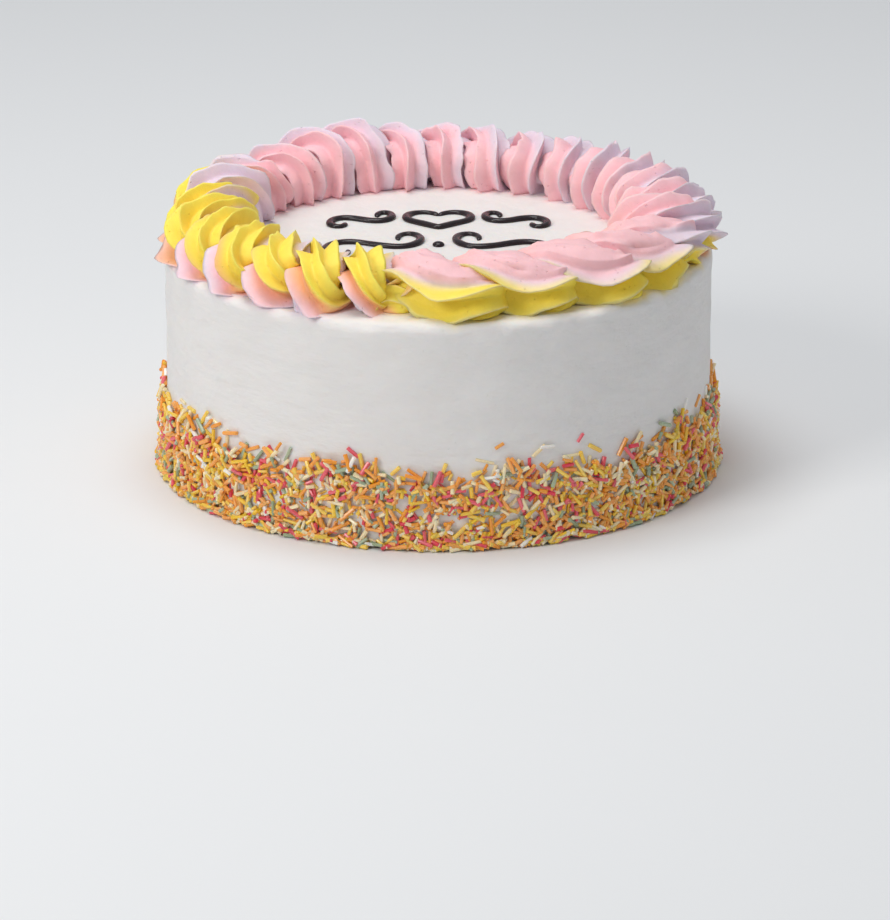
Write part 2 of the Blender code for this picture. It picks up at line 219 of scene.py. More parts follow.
class CakeBorderSettings(bpy.types.PropertyGroup):
    """The looped star rope."""

    loops: count_of("Loops", "Loops round the cake", 27)
    start_angle: number_of("Start", "Angle of the first loop in degrees", -96.0)
    loop_angle: number_of("Loop spacing", "Degrees round the cake that a loop takes", 12.4)
    long_loops: number_of("Long loops", "How many of the first loops are long", 3.4)
    long_loops_angle: number_of("Extra for long loops", "Degrees that the long loops add", 21.0)
    oval: length_of("Oval", "How much wider than deep the border is", 0.0025)
    lean: number_of("Lean", "Degrees that the loops lean back along the border", 3.0)
    back_lean: number_of("Back lean", "Degrees more that the loops at the back lean", 20.0)
    front_slant: number_of("Front slant", "Degrees that the rope gains over a loop's top at the front", 5.4)
    slant_lag: number_of("Slant lag", "Degrees past a loop's top at which the slant is greatest", 24.0)
    fins: count_of("Fins", "Teeth of the star nozzle", 8)
    core: length_of("Rope core", "Radius at the bottom of a groove", 0.0058)
    crest: length_of("Rope crest", "Radius at the tip of a fin", 0.0101)
    sharpness: number_of("Sharpness", "How thin the fins are", 1.45)
    turned: number_of("Turned", "Degrees that the nozzle is turned", 2.0)
    front_turned: number_of("Turned in front", "Degrees more that it is turned at the front", -6.0)
    left_turned: number_of("Turned at the left", "Degrees more that it is turned at the left", 28.0)
    soft_fins: number_of("Soft fins", "How far the two top fins of the front loops are smoothed away", 0.95)
    lip_dip: number_of("Lip dip", "Degrees that the lip of a front loop sinks and rises again", 29.0)
    lip_reach: number_of("Lip reach", "How much further the lip of a front loop stands out", 0.35)
    foot_reach: number_of("Foot reach", "How much further the lowest fin stands out, left and front", 0.60)
    ragged: number_of("Ragged edges", "How ragged the edges of the fins are", 0.17)
    start_colour: number_of("Start colour", "Degrees that the colours are turned at the rope's start", 50.0)
    spread: length_of("Foot spread", "How far the foot is squashed outwards", 0.0011)
    rings_a_loop: count_of("Rings a loop", "Steps along one loop", 45)
    points_a_fin: count_of("Points a fin", "Points across one fin", 10)
    yellow: colour_of("Yellow", "Yellow icing", (0.99, 0.82, 0.11))
    lavender: colour_of("Lavender", "Lavender icing", (0.80, 0.70, 0.80))
    pink: colour_of("Pink", "Pink icing", (0.99, 0.61, 0.66))
    orange: colour_of("Orange", "Orange icing", (0.92, 0.49, 0.23))
    # The lip colour is partly the paler colour of thin icing and partly a painted highlight
    lip: colour_of("Lip", "Pale edge of a thin fin", (0.94, 0.87, 0.78))
    # Painted shade: coral painted into the shaded hollows between loops, and how much of it they take
    coral: colour_of("Coral", "Icing in the hollows between loops", (0.99, 0.53, 0.46))
    coral_share: number_of("Coral share", "How much of the coral the hollows take up", 0.45)


class CakeStrandSettings(bpy.types.PropertyGroup):
    """The band of sugar strands."""

    count: count_of("Strands", "Strands in the band", 5100)
    foot_count: count_of("Strands at the foot", "Further strands heaped round the foot", 700)
    height: length_of("Band height", "Mean height of the band", 0.034)
    ragged: length_of("Ragged top", "How far the band's top rises and falls", 0.003)
    thin: length_of("Thinnest", "Radius of the thinnest strands", 0.00060)
    thick: length_of("Thickest", "Radius of the thickest strands", 0.00088)
    short: length_of("Shortest", "Length of the shortest strands", 0.0028)
    long: length_of("Longest", "Length of the longest strands", 0.0076)
    deepest: length_of("Deepest", "Most that the strands stand out from the icing", 0.0036)
    seed: count_of("Seed", "Seed of the random draw", 7)


class CakeGelSettings(bpy.types.PropertyGroup):
    """The gel flourish."""

    width: length_of("Stroke width", "Width of a stroke of gel", 0.0034)
    height: length_of("Stroke height", "Height of a stroke of gel", 0.0017)
    waver: number_of("Waver", "Share by which a stroke's width varies", 0.09)
    dot: length_of("Dot", "Radius of a dot of gel", 0.0023)
    colour: colour_of("Gel", "Colour of the gel", (0.0075, 0.0045, 0.006))


class CakeStageSettings(bpy.types.PropertyGroup):
    """The floor, the lights and the camera."""

    floor_size: length_of("Floor", "Side of the floor", 8.0)
    floor_colour: colour_of("Floor colour", "Colour of the floor", (0.80, 0.815, 0.83))
    key: number_of("Key light", "Power of the light from the front left, in watts", 8.6)
    fill: number_of("Fill light", "Power of the weaker light from the right, in watts", 0.2)
    over: number_of("Top light", "Power of the light from overhead, in watts", 8.6)
    world: number_of("Room light", "Strength of the even light from all round", 0.42)
    elevation: number_of("Camera elevation", "Degrees above level", 19.5)
    distance: length_of("Camera distance", "From the middle of the cake", 2.4)
    lens: number_of("Lens", "Focal length in millimetres on a sensor 36 mm high", 241.9)


def ease(low, high, value):
    """0 below low, 1 above high and smooth between, for one value or many."""
    share = np.clip((np.asarray(value, float) - low) / (high - low), 0.0, 1.0)
    return share * share * (3 - 2 * share)


def bump(value, middle, width):
    return np.exp(-(((np.asarray(value, float) - middle) / width) ** 2))


def wave(turns, size, rate, phase):
    return size * np.sin(2 * math.pi * (rate * turns + phase))


def finished(shape, name, nodes, material, sharp=40.0):
    """A piece from a bmesh: it rides on the cake, stands for the nodes and takes the material."""
    mesh = bpy.data.meshes.new(name)
    shape.to_mesh(mesh)
    shape.free()
    mesh.shade_smooth()
    mesh.set_sharp_from_angle(angle=math.radians(sharp))
    mesh.materials.append(material)
    piece = bpy.data.objects.new(name, mesh)
    bpy.context.scene.collection.objects.link(piece)
    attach(piece, "root")
    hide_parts(*nodes)
    return piece


def new_material(name, roughness):
    """A material with a Principled shader: the material, its nodes, its links and the shader."""
    material = bpy.data.materials.new(name)
    material.use_nodes = True
    tree = material.node_tree
    shader = tree.nodes["Principled BSDF"]
    shader.inputs["Roughness"].default_value = roughness
    return material, tree.nodes, tree.links, shader


def noise_node(nodes, links, scale, detail=2.0, stretch=(1.0, 1.0, 1.0)):
    """A noise over the piece's own coordinates, with scale in features a metre."""
    place = nodes.new("ShaderNodeTexCoord")
    mapping = nodes.new("ShaderNodeMapping")
    mapping.inputs["Scale"].default_value = stretch
    texture = nodes.new("ShaderNodeTexNoise")
    texture.inputs["Scale"].default_value = scale
    texture.inputs["Detail"].default_value = detail
    links.new(place.outputs["Object"], mapping.inputs["Vector"])
    links.new(mapping.outputs["Vector"], texture.inputs["Vector"])
    return texture.outputs["Fac"]


def pits_node(nodes, links, scale, size):
    """Small round pits scattered over the piece: 1 outside them and 0 at their middles."""
    place = nodes.new("ShaderNodeTexCoord")
    cells = nodes.new("ShaderNodeTexVoronoi")
    cells.inputs["Scale"].default_value = scale
    links.new(place.outputs["Object"], cells.inputs["Vector"])
    ramp = nodes.new("ShaderNodeMapRange")
    ramp.interpolation_type = "SMOOTHSTEP"
    ramp.inputs["From Min"].default_value = 0.0
    ramp.inputs["From Max"].default_value = size
    links.new(cells.outputs["Distance"], ramp.inputs["Value"])
    return ramp.outputs["Result"]


def bump_chain(nodes, links, shader, heights):
    """Bumps one after another into the shader: each height is (socket, strength, depth in metres)."""
    before = None
    for socket, strength, depth in heights:
        relief = nodes.new("ShaderNodeBump")
        relief.inputs["Strength"].default_value = strength
        relief.inputs["Distance"].default_value = depth
        links.new(socket, relief.inputs["Height"])
        if before:
            links.new(before, relief.inputs["Normal"])
        before = relief.outputs["Normal"]
    links.new(before, shader.inputs["Normal"])


def varied(nodes, links, colour_socket, noise_socket, low, high):
    """The colour made a little darker and lighter by the noise."""
    level = nodes.new("ShaderNodeMapRange")
    level.inputs["From Min"].default_value = 0.3
    level.inputs["From Max"].default_value = 0.7
    level.inputs["To Min"].default_value = low
    level.inputs["To Max"].default_value = high
    links.new(noise_socket, level.inputs["Value"])
    shade = nodes.new("ShaderNodeVectorMath")
    shade.operation = "SCALE"
    links.new(colour_socket, shade.inputs[0])
    links.new(level.outputs["Result"], shade.inputs["Scale"])
    return shade.outputs["Vector"]


def attribute_colour(nodes, name):
    attribute = nodes.new("ShaderNodeAttribute")
    attribute.attribute_name = name
    return attribute.outputs["Color"]


def buttercream(shader, depth):
    """Light goes a little way into buttercream."""
    shader.inputs["Subsurface Weight"].default_value = 0.25
    shader.inputs["Subsurface Radius"].default_value = (1.0, 0.6, 0.4)
    shader.inputs["Subsurface Scale"].default_value = depth
    shader.inputs["Specular IOR Level"].default_value = 0.35


def icing_material():
    material, nodes, links, shader = new_material("smoothed_buttercream", 0.58)
    buttercream(shader, 0.0020)
    soft = noise_node(nodes, links, 45.0, 3.0, (1.0, 1.0, 2.2))
    colour = varied(nodes, links, attribute_colour(nodes, "icing"), soft, 0.975, 1.01)
    links.new(colour, shader.inputs["Base Color"])
    scraped = noise_node(nodes, links, 60.0, 4.0, (1.0, 1.0, 2.6))
    grain = noise_node(nodes, links, 1300.0, 2.0)
    pits = pits_node(nodes, links, 210.0, 0.10)
    lumps = noise_node(nodes, links, 230.0, 2.0)
    relief = ((scraped, 0.9, 0.0015), (lumps, 0.5, 0.0006), (grain, 0.16, 0.0002), (pits, 0.4, 0.0004))
    bump_chain(nodes, links, shader, relief)
    return material


def piping_material():
    material, nodes, links, shader = new_material("piped_buttercream", 0.56)
    buttercream(shader, 0.0016)
    streaks = noise_node(nodes, links, 260.0, 3.0)
    colour = varied(nodes, links, attribute_colour(nodes, "piping"), streaks, 0.96, 1.03)
    links.new(colour, shader.inputs["Base Color"])
    ridges = noise_node(nodes, links, 420.0, 2.0)
    grain = noise_node(nodes, links, 1700.0, 2.0)
    pits = pits_node(nodes, links, 330.0, 0.15)
    bump_chain(nodes, links, shader, ((ridges, 0.32, 0.0006), (grain, 0.28, 0.0003), (pits, 0.8, 0.0005)))
    return material


def strand_material(name, colour):
    material, nodes, links, shader = new_material("sugar_" + name, 0.26)
    shader.inputs["Specular IOR Level"].default_value = 0.75
    shader.inputs["Subsurface Weight"].default_value = 0.45
    shader.inputs["Subsurface Radius"].default_value = (1.0, 0.7, 0.4)
    shader.inputs["Subsurface Scale"].default_value = 0.0014
    shade = nodes.new("ShaderNodeAttribute")
    shade.attribute_name = "shade"
    blend = nodes.new("ShaderNodeMix")
    blend.data_type = "RGBA"
    blend.inputs["A"].default_value = (*[part * 0.90 for part in colour], 1.0)
    blend.inputs["B"].default_value = (*[part + (1 - part) * 0.12 for part in colour], 1.0)
    links.new(shade.outputs["Fac"], blend.inputs["Factor"])
    dusty = noise_node(nodes, links, 1500.0, 2.0)
    links.new(varied(nodes, links, blend.outputs["Result"], dusty, 0.94, 1.05), shader.inputs["Base Color"])
    bump_chain(nodes, links, shader, ((dusty, 0.25, 0.0001),))
    return material


def gel_material(colour):
    material, nodes, links, shader = new_material("glossy_gel", 0.24)
    shader.inputs["Specular IOR Level"].default_value = 0.30
    thin = noise_node(nodes, links, 300.0, 2.0)
    tone = nodes.new("ShaderNodeMix")
    tone.data_type = "RGBA"
    tone.inputs["A"].default_value = (*colour, 1.0)
    tone.inputs["B"].default_value = (*[part * 3.2 for part in colour], 1.0)
    links.new(thin, tone.inputs["Factor"])
    links.new(tone.outputs["Result"], shader.inputs["Base Color"])
    shader.inputs["Coat Weight"].default_value = 0.12
    shader.inputs["Coat Roughness"].default_value = 0.08
    skin = noise_node(nodes, links, 700.0, 2.0)
    bump_chain(nodes, links, shader, ((skin, 0.25, 0.0002),))
    return material


def floor_material(colour):
    material, nodes, links, shader = new_material("pale_floor", 0.7)
    plaster = noise_node(nodes, links, 6.0, 3.0)
    tone = nodes.new("ShaderNodeMix")
    tone.data_type = "RGBA"
    tone.inputs["A"].default_value = (*[part * 0.985 for part in colour], 1.0)
    tone.inputs["B"].default_value = (*colour, 1.0)
    links.new(plaster, tone.inputs["Factor"])
    links.new(tone.outputs["Result"], shader.inputs["Base Color"])
    return material


def wrapped_grid(points, colours=None, layer_name=None):
    """A tube over a grid of points: rows run along it and columns round it. Its two ends are closed.

    A flat grid with one column more than the points is bent round, and its two edges are merged.
    """
    rows, columns = points.shape[:2]
    shape = bmesh.new()
    bmesh.ops.create_grid(shape, x_segments=columns, y_segments=rows - 1, size=0.5)
    layer = shape.verts.layers.float_color.new(layer_name) if layer_name else None
    for corner in shape.verts:
        column = round((corner.co.x + 0.5) * columns) % columns
        row = round((corner.co.y + 0.5) * (rows - 1))
        corner.co = points[row, column]
        if layer:
            corner[layer] = colours[row, column]
    bmesh.ops.remove_doubles(shape, verts=shape.verts, dist=1e-7)
    rims = [edge for edge in shape.edges if edge.is_boundary]
    bmesh.ops.holes_fill(shape, edges=rims, sides=0)
    bmesh.ops.recalc_face_normals(shape, faces=shape.faces)
    return shape


def rope_angle(turns, rope):
    """Where the rope has got to round the cake, in degrees, after so many loops."""
    share = turns / rope.long_loops
    stretch = share / (1 + np.abs(share) ** 6) ** (1 / 6)
    angle = rope.start_angle + rope.loop_angle * turns + rope.long_loops_angle * stretch
    slant = rope.front_slant * (1 - ease(*FRONT_LAST, angle)) * ease(*START_EASE, turns)
    return angle + wave(turns, slant, 1.0, -TOP_TURN - rope.slant_lag / 360)


def rope_shape(turns, rope):
    """The local sizes of the rope and its loops after so many loops."""
    angle = rope_angle(turns, rope)
    width = np.where(angle > HIGH_MIDDLE, HIGH_WIDTHS[1], HIGH_WIDTHS[0])
    stretches = (
        (FRONT_LOOPS, 1 - ease(*FRONT_LAST, angle)),
        (RIGHT_LOOPS, bump(angle, RIGHT_MIDDLE, RIGHT_WIDTH)),
        (HIGH_LOOPS, bump(angle, HIGH_MIDDLE, width)),
        (LEFT_LOOPS, ease(*LEFT_FIRST, angle)),
    )
    shape = {
        name: plain + sum(added.get(name, 0.0) * share for added, share in stretches)
        for name, plain in PLAIN_LOOPS.items()
    }
    uneven = 1 + sum(wave(turns, *part) for part in SIZE_WAVES)
    begun = ease(*START_EASE, turns)
    ended = ease(*END_EASE, rope.loops - turns)
    shape["front"] = stretches[0][1]
    shape["left"] = stretches[3][1]
    shape["degrees"] = angle
    back = ease(*BACK_FIRST, angle) * (1 - ease(*BACK_LAST, angle))
    shape["lean"] = np.radians(rope.lean + rope.back_lean * back + wave(turns, *LEAN_WAVE))
    shape["reach"] = shape["reach"] * uneven * begun * (0.55 + 0.45 * ended)
    shape["rise"] = shape["rise"] * uneven * begun * (0.55 + 0.45 * ended)
    shape["lift"] = shape["lift"] * (0.45 + 0.55 * begun * ended)
    shape["size"] = shape["size"] * (0.72 + 0.28 * begun) * (0.12 + 0.88 * ended)
    shape["ring"] = shape["ring"] + rope.oval * np.cos(2 * np.radians(angle)) + wave(turns, *RING_WAVE)
    return shape


def rope_path(turns, rope):
    """The rope's middle line, two directions across it, the way out from the cake and the local sizes."""
    shape = rope_shape(turns, rope)
    angle = np.radians(shape["degrees"])
    level = np.zeros_like(angle)
    outward = np.stack([np.cos(angle), np.sin(angle), level], 1)
    onward = np.stack([-np.sin(angle), np.cos(angle), level], 1)
    lean = shape["lean"][:, None]
    upward = np.array([0.0, 0.0, 1.0]) * np.cos(lean) - onward * np.sin(lean)
    turn = 2 * math.pi * (FIRST_TURN - turns)
    out_share = np.cos(turn)[:, None]
    up_share = np.sin(turn)[:, None]
    middle = outward * shape["ring"][:, None]
    middle[:, 2] = TOP + shape["lift"]
    middle = middle + outward * shape["reach"][:, None] * out_share
    middle = middle + upward * shape["rise"][:, None] * up_share
    ahead = np.gradient(middle, axis=0)
    ahead /= np.linalg.norm(ahead, axis=1)[:, None]
    out = outward * out_share + upward * up_share
    out -= (out * ahead).sum(1)[:, None] * ahead
    out /= np.linalg.norm(out, axis=1)[:, None]
    shape["past_top"] = math.pi / 2 - turn
    return middle, out, np.cross(out, ahead), outward, shape


def fin_points(rope):
    """Angles round the nozzle in degrees, closest at the fins' tips, and how far each is off a tip."""
    half = rope.points_a_fin // 2
    shares = [(step / half) ** 1.35 for step in range(half)]
    offsets = sorted([-share for share in shares[1:]] + shares) + [1.0]
    fin_angle = 360.0 / rope.fins
    angles = []
    off_tip = []
    for fin in range(rope.fins):
        for offset in offsets:
            angles.append(fin_angle * (fin + offset / 2))
            off_tip.append(abs(offset))
    return np.array(angles), np.array(off_tip)


def rope_colours(shape, round_nozzle, lip_pale_and_highlight, rope):
    """The colour at each point from its angle round the nozzle, with pale lips where a fin is thin: partly
    the thin icing's own paler colour, partly a painted highlight.
    """
    places = shape["degrees"]
    bounds = [
        np.interp(places, COLOUR_PLACES, stations)[:, None]
        for stations in (YELLOW_TO_LAVENDER, LAVENDER_TO_PINK, PINK_TO_ORANGE, ORANGE_TO_YELLOW)
    ]
    colours = [np.array(tint) for tint in (rope.yellow, rope.lavender, rope.pink, rope.orange)]
    past = (round_nozzle - bounds[0]) % 360
    soft = COLOUR_SOFT
    lavender_share = ease(-soft, soft, past) + ease(360 - soft, 360 + soft, past)
    mixed = colours[0] + (colours[1] - colours[0]) * lavender_share[..., None]
    for before, after, bound in zip(colours[1:], colours[2:] + colours[:1], bounds[1:]):
        edge = bound - bounds[0]
        mixed = mixed + (after - before) * ease(edge - soft, edge + soft, past)[..., None]
    lip = np.array(rope.lip)
    mixed = mixed + (lip - mixed) * lip_pale_and_highlight[..., None]
    return np.clip(mixed, 0.0, 1.0)


def rope_surface(rope):
    """The rope's outside as a grid of points along and round it, and their colours."""
    steps = int(rope.loops * rope.rings_a_loop)
    turns = np.linspace(START_EASE[0] - 0.05, rope.loops - END_EASE[0], steps)
    middle, out, across, outward, shape = rope_path(turns, rope)
    nozzle, off_tip = fin_points(rope)
    draw = np.random.default_rng(CREST_SEED)
    phases = draw.random((rope.fins, 4))
    fin_of_point = np.round(nozzle / (360.0 / rope.fins)).astype(int) % rope.fins
    top_fins = (0, rope.fins - 1)
    inner_fin = 1
    lip_fin = rope.fins - 2
    foot_fin = rope.fins - 3
    tall = np.zeros((len(turns), len(nozzle)))
    bend = np.zeros_like(tall)
    for fin in range(rope.fins):
        waves = [wave(turns, size, rate, phase) for (size, rate), phase in zip(CREST_WAVES, phases[fin])]
        height = 1 + sum(waves)
        height = height + rope.ragged * np.convolve(draw.normal(size=len(turns)), RAGGED_BLUR, "same")
        if fin in top_fins:
            height = height - rope.soft_fins * shape["front"]
        if fin == lip_fin:
            height = height + rope.lip_reach * shape["front"] ** 2
        if fin == foot_fin:
            height = height + rope.foot_reach * (shape["left"] + shape["front"] ** 3)
        if fin == inner_fin:
            height = height - INNER_SOFT * rope.soft_fins * shape["front"]
        mine = fin_of_point == fin
        tall[:, mine] = height[:, None]
        bend[:, mine] = (CREST_LEAN[0] + wave(turns, CREST_LEAN[1], CREST_LEAN[2], phases[fin, 3]))[:, None]
    fin_shape = (1 - off_tip)[None, :] ** rope.sharpness
    past_top = shape["past_top"]
    under = ease(-0.1, 0.7, -np.cos(past_top)) * (UNDER_SHARE[0] + UNDER_SHARE[1] * shape["front"])
    rise = (rope.crest - rope.core) * fin_shape * tall * (1 - under)[:, None]
    radius = (rope.core + rise) * shape["size"][:, None]
    bunch = np.interp(shape["degrees"], TWIST_PLACES, TWIST_BUNCH)
    slow = np.radians(np.interp(shape["degrees"], TWIST_PLACES, TWIST_SLOW))
    twist = past_top - bunch * (np.sin(past_top + slow) - np.sin(slow))
    dip = np.radians(rope.lip_dip) * shape["front"] * np.cos(2 * past_top - math.pi / 2)
    by_lip = 0.5 - 0.5 * np.sin(np.radians(nozzle))
    turn = rope.turned + rope.front_turned * shape["front"] + rope.left_turned * shape["left"]
    turned = nozzle[None, :] + turn[:, None]
    around = np.radians(turned) + twist[:, None] - dip[:, None] * by_lip[None, :] + bend * fin_shape
    points = middle[:, None, :] + (radius * np.cos(around))[..., None] * out[:, None, :]
    points = points + (radius * np.sin(around))[..., None] * across[:, None, :]
    floor = TOP + 0.0001
    from_middle = ((points - middle[:, None, :]) * outward[:, None, :]).sum(2)
    away = np.clip(from_middle / SPREAD_FULL, -1.0, 1.0)
    wider = 1 + SPREAD_LEFT * shape["left"][:, None] + SPREAD_FRONT * shape["front"][:, None] ** 3
    flare = rope.spread * wider * (1 - ease(floor, floor + SPREAD_HEIGHT, points[..., 2]))
    points = points + (flare * away)[..., None] * outward[:, None, :]
    points[..., 2] = np.maximum(points[..., 2], floor - 0.1 * np.maximum(floor - points[..., 2], 0.0))
    right = bump(shape["degrees"], RIGHT_MIDDLE, RIGHT_WIDTH)
    # Partly painted highlight: the fins' tips are paled towards the lip colour, more at the front and at the
    # right
    paler = LIP_PALE_AND_HIGHLIGHT[0] + LIP_PALE_AND_HIGHLIGHT[1] * shape["front"][:, None] + LIP_PALE_AND_HIGHLIGHT[2] * right[:, None]
    lip_pale_and_highlight = paler * bump(off_tip, 0.0, LIP_WIDTH)[None, :] * ease(0.6, 1.15, tall)
    streak = sum(wave(turns, *part) for part in STREAK_WAVES)
    streak = streak - rope.start_colour * (1 - ease(*START_EASE, turns))
    colours = rope_colours(shape, turned + streak[:, None], lip_pale_and_highlight, rope)
    # Painted shade: the icing is darkened and reddened in the grooves, where shade falls, except at the front
    groove = (1 - fin_shape)[..., None] * (1 - shape["front"])[:, None, None]
    colours = colours * (1 - groove * np.array(GROOVE_PAINTED_SHADE))
    # Painted shade: the whole front is darkened, where the light falls on it too brightly
    colours = colours * (1 - shape["front"][:, None, None] * np.array(FRONT_PAINTED_SHADE))
    # Painted shade: the rising part of each loop, in the hollow under the one before, is turned coral
    rising = (past_top + math.pi) % (2 * math.pi) - math.pi
    hollow_shade = rope.coral_share * (0.35 + 0.65 * shape["front"]) * bump(rising, *CORAL_HOLLOW_SHADE)
    colours = colours + (np.array(rope.coral) - colours) * (hollow_shade * (1 - shape["left"]))[:, None, None]
    alpha = np.ones((*colours.shape[:2], 1))
    return points, np.concatenate([colours, alpha], 2)


class CAKE_OT_piped_border(bpy.types.Operator):
    """Pipe the looped star rope round the top edge"""

    bl_idname = "cake.piped_border"
    bl_label = "Piped border"

    def execute(self, context):
        points, colours = rope_surface(context.scene.cake_border)
        shape = wrapped_grid(points, colours, "piping")
        finished(shape, "rope_border", ["piped_border"], piping_material(), 180.0)
        return {"FINISHED"}


def icing_profile(icing):
    """(radius, height) from the underside's middle, up the side and over the rim to the top's middle."""
    profile = [(0.0, 0.0), (icing.radius - icing.foot_round, 0.0), (icing.radius, icing.foot_round)]
    shoulder = TOP - icing.rim_round
    levels = 34
    profile += [
        (icing.radius, icing.foot_round + (shoulder - icing.foot_round) * level / levels)
        for level in range(1, levels + 1)
    ]
    rim_steps = 8
    for step in range(1, rim_steps + 1):
        turn = math.pi / 2 * step / rim_steps
        radius = icing.radius - icing.rim_round + icing.rim_round * math.cos(turn)
        profile.append((radius, shoulder + icing.rim_round * math.sin(turn)))
    flat = icing.radius - icing.rim_round
    top_steps = 60
    profile += [(flat * (1 - step / top_steps), TOP) for step in range(1, top_steps + 1)]
    return profile


def icing_relief(place, icing):
    """How far a point of the icing moves outwards and upwards from where a perfect scraper would leave it."""
    broad = noise.noise(place * 28.0) + 0.5 * noise.noise(place * 75.0)
    scraped = noise.noise(Vector((place.x * 25.0, place.y * 25.0, place.z * 330.0)))
    rim = float(ease(TOP - 0.012, TOP - 0.002, place.z)) * float(ease(0.088, 0.098, place.xy.length))
    rough = noise.noise(place * 60.0 + Vector((7.0, 3.0, 1.0))) + 0.6 * noise.noise(place * 170.0)
    outwards = icing.waver * broad + icing.scrape * scraped + icing.rim_waver * rim * rough
    upwards = 0.4 * icing.scrape * broad + 0.8 * icing.rim_waver * rim * noise.noise(place * 95.0)
    return outwards, upwards


def piping_contact(rope):
    """The points where the piping meets the top, ready to be searched, and their colours."""
    points, colours = rope_surface(rope)
    touching = points[..., 2] < TOP + 0.0006
    places = points[touching][::3]
    tints = colours[touching][::3]
    tree = kdtree.KDTree(len(places))
    for number, place in enumerate(places):
        tree.insert(place, number)
    tree.balance()
    return tree, tints


class CAKE_OT_smooth_icing(bpy.types.Operator):
    """Turn the smoothed icing, with scraper marks and the piping's colour painted beside it as reflected
    light
    """

    bl_idname = "cake.smooth_icing"
    bl_label = "Smooth icing"

    def execute(self, context):
        icing = context.scene.cake_icing
        shape = bmesh.new()
        corners = [shape.verts.new((radius, 0.0, height)) for radius, height in icing_profile(icing)]
        edges = [shape.edges.new(pair) for pair in zip(corners, corners[1:])]
        bmesh.ops.spin(
            shape, geom=corners + edges, cent=(0, 0, 0), axis=(0, 0, 1), dvec=(0, 0, 0),
            angle=2 * math.pi, steps=icing.sides, use_merge=True, use_duplicate=False,
        )
        bmesh.ops.remove_doubles(shape, verts=shape.verts, dist=1e-6)
        bmesh.ops.recalc_face_normals(shape, faces=shape.faces)
        tree, tints = piping_contact(context.scene.cake_border)
        layer = shape.verts.layers.float_color.new("icing")
        white = np.array((*icing.colour, 1.0))
        for corner in shape.verts:
            place = corner.co.copy()
            corner[layer] = white
            # Painted reflected light: near the piping the white takes on the piping's colour, as light
            # bounced off it would tint it
            if place.z > TOP - icing.rim_round:
                _, number, distance = tree.find(place)
                share = icing.reflected_tint * math.exp(-((distance / icing.reflected_tint_reach) ** 2))
                corner[layer] = white + (tints[number] - white) * share
            if place.z > icing.foot_round and place.xy.length > 0.001:
                outwards, upwards = icing_relief(place, icing)
                side = Vector((place.x, place.y, 0.0)).normalized()
                flat = float(ease(icing.radius - 0.012, icing.radius - 0.003, place.xy.length))
                top = band_top(math.atan2(place.y, place.x), context.scene.cake_strands)
                outwards += icing.pressed * (1 - float(ease(0.55 * top, 0.90 * top, place.z)))
                corner.co = place + side * outwards * flat + Vector((0.0, 0.0, upwards))
        finished(shape, "smooth_icing", ["iced_cake"], icing_material())
        return {"FINISHED"}


def band_top(angle, strands):
    ragged = 0.5 * math.sin(9 * angle) + 0.3 * math.sin(23 * angle + 1.0) + 0.2 * math.sin(14 * angle + 2.1)
    return strands.height + strands.ragged * ragged


class StrandHeap:
    """How thick the strands lie so far at each place on the side."""

    cell = 0.0007

    def __init__(self, radius, height):
        self.around = round(2 * math.pi * radius / self.cell)
        self.thick = np.zeros((self.around, int(height / self.cell) + 2))

    def cells(self, angle, height, along, length):
        """Offsets along a strand and the cells under them."""
        shares = np.linspace(-0.5, 0.5, 9)
        columns = (angle / (2 * math.pi) * self.around + shares * length * along[0] / self.cell).astype(int)
        rows = ((height + shares * length * along[1]) / self.cell).astype(int)
        return shares * length, columns % self.around, np.clip(rows, 0, self.thick.shape[1] - 1)

    def lay(self, angle, height, along, length, radius):
        """Lays a strand on those below it: how far its middle stands out, and how much it slopes outwards."""
        offsets, columns, rows = self.cells(angle, height, along, length)
        below = self.thick[columns, rows]
        slope = float(np.clip((below[-3:].mean() - below[:3].mean()) / (0.75 * length), -0.35, 0.35))
        stands = float((below - slope * offsets).max()) + 0.55 * radius
        top = stands + slope * offsets + 0.75 * radius
        self.thick[columns, rows] = np.maximum(below, top)
        return stands, slope


def strand_template():
    """One strand: a rod of unit radius and unit length along Z, slightly rounded at its ends."""
    shape = bmesh.new()
    bmesh.ops.create_cone(shape, cap_ends=True, segments=8, radius1=1.0, radius2=1.0, depth=1.0)
    ends = [edge for edge in shape.edges if abs(edge.verts[0].co.z - edge.verts[1].co.z) < 1e-6]
    bmesh.ops.bevel(
        shape, geom=ends, offset=0.055, offset_type="OFFSET", affect="EDGES", segments=1, profile=0.5,
        material=-1,
    )
    everything = shape.verts[:] + shape.edges[:] + shape.faces[:]
    bmesh.ops.bisect_plane(shape, geom=everything, plane_co=(0, 0, 0), plane_no=(0, 0, 1))
    mesh = bpy.data.meshes.new("strand")
    shape.to_mesh(mesh)
    shape.free()
    mesh.attributes.new("shade", "FLOAT", "POINT")
    return mesh


